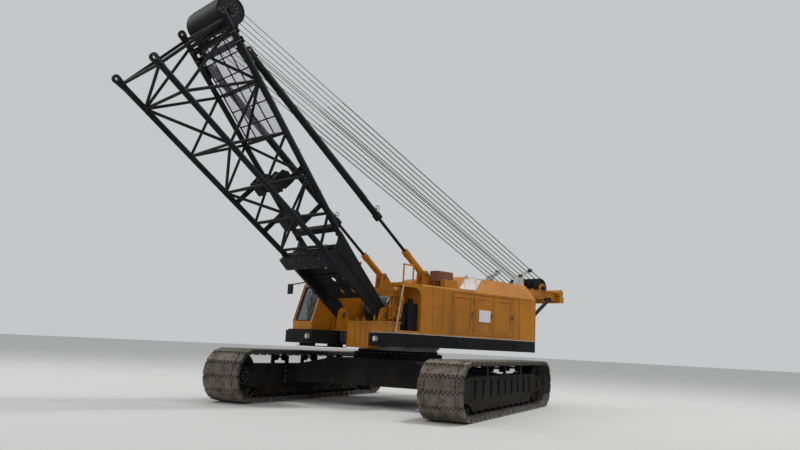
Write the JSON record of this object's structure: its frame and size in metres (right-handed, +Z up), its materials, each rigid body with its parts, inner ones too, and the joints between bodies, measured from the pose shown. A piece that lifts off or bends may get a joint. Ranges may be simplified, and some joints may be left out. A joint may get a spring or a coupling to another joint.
{
  "type": "crawler crane",
  "caption": "Crawler crane with its lattice boom base only, raised on the boom hoist ropes, folded gantry, no counterweight.",
  "frame": {"origin": "slewing centre of the crane, on the ground", "axes": "+X to the front of the upper works, +Y to its left, +Z up; the tracks stand turned 23 degrees to the left under it"},
  "size_m": [14.5805, 9.185, 9.0958],
  "materials": {
    "undercarriage_paint": "satin black paint, dusty",
    "shoe_steel": "worn steel with dried dirt",
    "black_paint": "semi gloss black paint",
    "yellow_paint": "semi gloss yellow paint, weathered",
    "dark_steel": "oiled dark steel",
    "rope_wire": "greased wire rope",
    "engine_paint": "grey paint",
    "rusty_steel": "heat rusted steel",
    "cab_trim": "matte dark trim",
    "clear_glass": "clear tinted glass",
    "bare_plate": "bare sheet with rust stains",
    "grey_paint": "pale grey paint",
    "red_lens": "red lens",
    "lamp_lens": "clear lens"
  },
  "bodies": {
    "undercarriage": {"carbody": "undercarriage_paint", "side_frames": "undercarriage_paint", "track_left": "shoe_steel", "track_right": "shoe_steel", "track_wheels": "undercarriage_paint", "rollers": "undercarriage_paint", "travel_drives": "undercarriage_paint"},
    "upper_works": {"slew_ring": "dark_steel", "revolving_frame": "black_paint", "front_frame": "yellow_paint", "house_left": "yellow_paint", "house_right": "yellow_paint", "rear_grille": "yellow_paint", "engine": "engine_paint", "muffler": "rusty_steel", "cab": "yellow_paint", "cab_glass": "clear_glass", "cab_interior": "cab_trim", "side_mirror": "black_paint", "handrail": "yellow_paint", "lamps": "lamp_lens", "roof_panel": "bare_plate", "entry_tank": "black_paint", "pipe_rack": "yellow_paint", "warning_lamp": "red_lens", "winch_frames": "yellow_paint", "backstop_posts": "yellow_paint", "gantry": "yellow_paint", "gantry_guides": "grey_paint", "gantry_struts": "black_paint"},
    "left_door_1": {"door_l1": "yellow_paint"},
    "left_door_2": {"door_l2": "yellow_paint"},
    "left_door_3": {"door_l3": "yellow_paint"},
    "right_door_1": {"door_r1": "yellow_paint"},
    "right_door_2": {"door_r2": "yellow_paint"},
    "right_door_3": {"door_r3": "yellow_paint"},
    "sliding_cab_door": {"cab_door": "yellow_paint", "cab_door_glass": "clear_glass"},
    "front_winch": {"front_drum": "dark_steel"},
    "rear_winch": {"rear_drum": "dark_steel"},
    "boom_hoist_winch": {"hoist_drum": "dark_steel"},
    "boom": {"boom_legs": "black_paint", "boom_side_left": "black_paint", "boom_side_right": "black_paint", "boom_top_lacing": "black_paint", "boom_bottom_lacing": "black_paint", "boom_walkway": "black_paint", "rope_guides": "black_paint", "head_block": "black_paint"},
    "head_sheave_set": {"head_sheaves": "black_paint"},
    "gantry_sheave_set": {"gantry_sheaves": "black_paint"},
    "backstop_upper": {"backstop_tubes": "black_paint"},
    "backstop_lower": {"backstop_rods": "black_paint", "backstop_sleeves": "yellow_paint"},
    "hoist_falls_lower": {"falls_lower": "rope_wire"},
    "hoist_falls_upper": {"falls_upper": "rope_wire"}
  },
  "joints": [
    {"name": "slew", "type": "hinge", "parent": "undercarriage", "child": "upper_works", "pos_m": [0, 0, 1.41], "axis": [0, 0, 1], "continuous": true},
    {"name": "boom_luff", "type": "hinge", "parent": "upper_works", "child": "boom", "pos_m": [1.38, 0, 2.31], "axis": [0, -1, 0], "range_deg": [-40, 37]},
    {"name": "left_door_1_hinge", "type": "hinge", "parent": "upper_works", "child": "left_door_1", "pos_m": [-0.374, 1.6113, 2.45], "axis": [0, 0, -1], "range_deg": [0, 90]},
    {"name": "right_door_1_hinge", "type": "hinge", "parent": "upper_works", "child": "right_door_1", "pos_m": [-0.374, -1.6113, 2.45], "axis": [0, 0, 1], "range_deg": [0, 90]},
    {"name": "left_door_2_hinge", "type": "hinge", "parent": "upper_works", "child": "left_door_2", "pos_m": [-1.224, 1.6113, 2.45], "axis": [0, 0, -1], "range_deg": [0, 90]},
    {"name": "right_door_2_hinge", "type": "hinge", "parent": "upper_works", "child": "right_door_2", "pos_m": [-1.224, -1.6113, 2.45], "axis": [0, 0, 1], "range_deg": [0, 90]},
    {"name": "left_door_3_hinge", "type": "hinge", "parent": "upper_works", "child": "left_door_3", "pos_m": [-2.014, 1.6113, 2.45], "axis": [0, 0, -1], "range_deg": [0, 90]},
    {"name": "right_door_3_hinge", "type": "hinge", "parent": "upper_works", "child": "right_door_3", "pos_m": [-2.014, -1.6113, 2.45], "axis": [0, 0, 1], "range_deg": [0, 90]},
    {"name": "cab_door_slide", "type": "slide", "parent": "upper_works", "child": "sliding_cab_door", "axis": [-1, 0, 0], "range_m": [0, 0.72]},
    {"name": "front_drum_turn", "type": "hinge", "parent": "upper_works", "child": "front_winch", "pos_m": [0.52, 0, 2.54], "axis": [0, 1, 0], "continuous": true},
    {"name": "rear_drum_turn", "type": "hinge", "parent": "upper_works", "child": "rear_winch", "pos_m": [-0.76, 0, 2.54], "axis": [0, 1, 0], "continuous": true},
    {"name": "hoist_drum_turn", "type": "hinge", "parent": "upper_works", "child": "boom_hoist_winch", "pos_m": [-2.05, 0, 2.54], "axis": [0, 1, 0], "continuous": true},
    {"name": "head_sheaves_turn", "type": "hinge", "parent": "boom", "child": "head_sheave_set", "pos_m": [6.2395, 0, 8.7558], "axis": [0, 1, 0], "continuous": true},
    {"name": "gantry_sheaves_turn", "type": "hinge", "parent": "upper_works", "child": "gantry_sheave_set", "pos_m": [-5.6, 0, 3.57], "axis": [0, 1, 0], "continuous": true},
    {"name": "backstop_pivot", "type": "hinge", "parent": "boom", "child": "backstop_upper", "pos_m": [5.7995, 0, 7.908], "axis": [0, -1, 0], "range_deg": [-3, 3]},
    {"name": "backstop_slide", "type": "slide", "parent": "backstop_upper", "child": "backstop_lower", "axis": [-0.7928, 0, -0.6094], "range_m": [-1.08, 1.16]},
    {"name": "falls_lower_pivot", "type": "hinge", "parent": "upper_works", "child": "hoist_falls_lower", "pos_m": [-5.6, 0, 3.57], "axis": [0, -1, 0], "range_deg": [-22.5, 21.5]},
    {"name": "falls_upper_pivot", "type": "hinge", "parent": "boom", "child": "hoist_falls_upper", "pos_m": [6.2395, 0, 8.7558], "axis": [0, -1, 0], "range_deg": [-17.5, 18.9]}
  ],
  "couplings": [
    {"joint": "backstop_pivot", "follows": "boom_luff", "ratio": -0.045},
    {"joint": "backstop_slide", "follows": "boom_luff", "m_per_rad": -1.62},
    {"joint": "falls_lower_pivot", "follows": "boom_luff", "ratio": 0.548},
    {"joint": "falls_upper_pivot", "follows": "boom_luff", "ratio": -0.452}
  ]
}
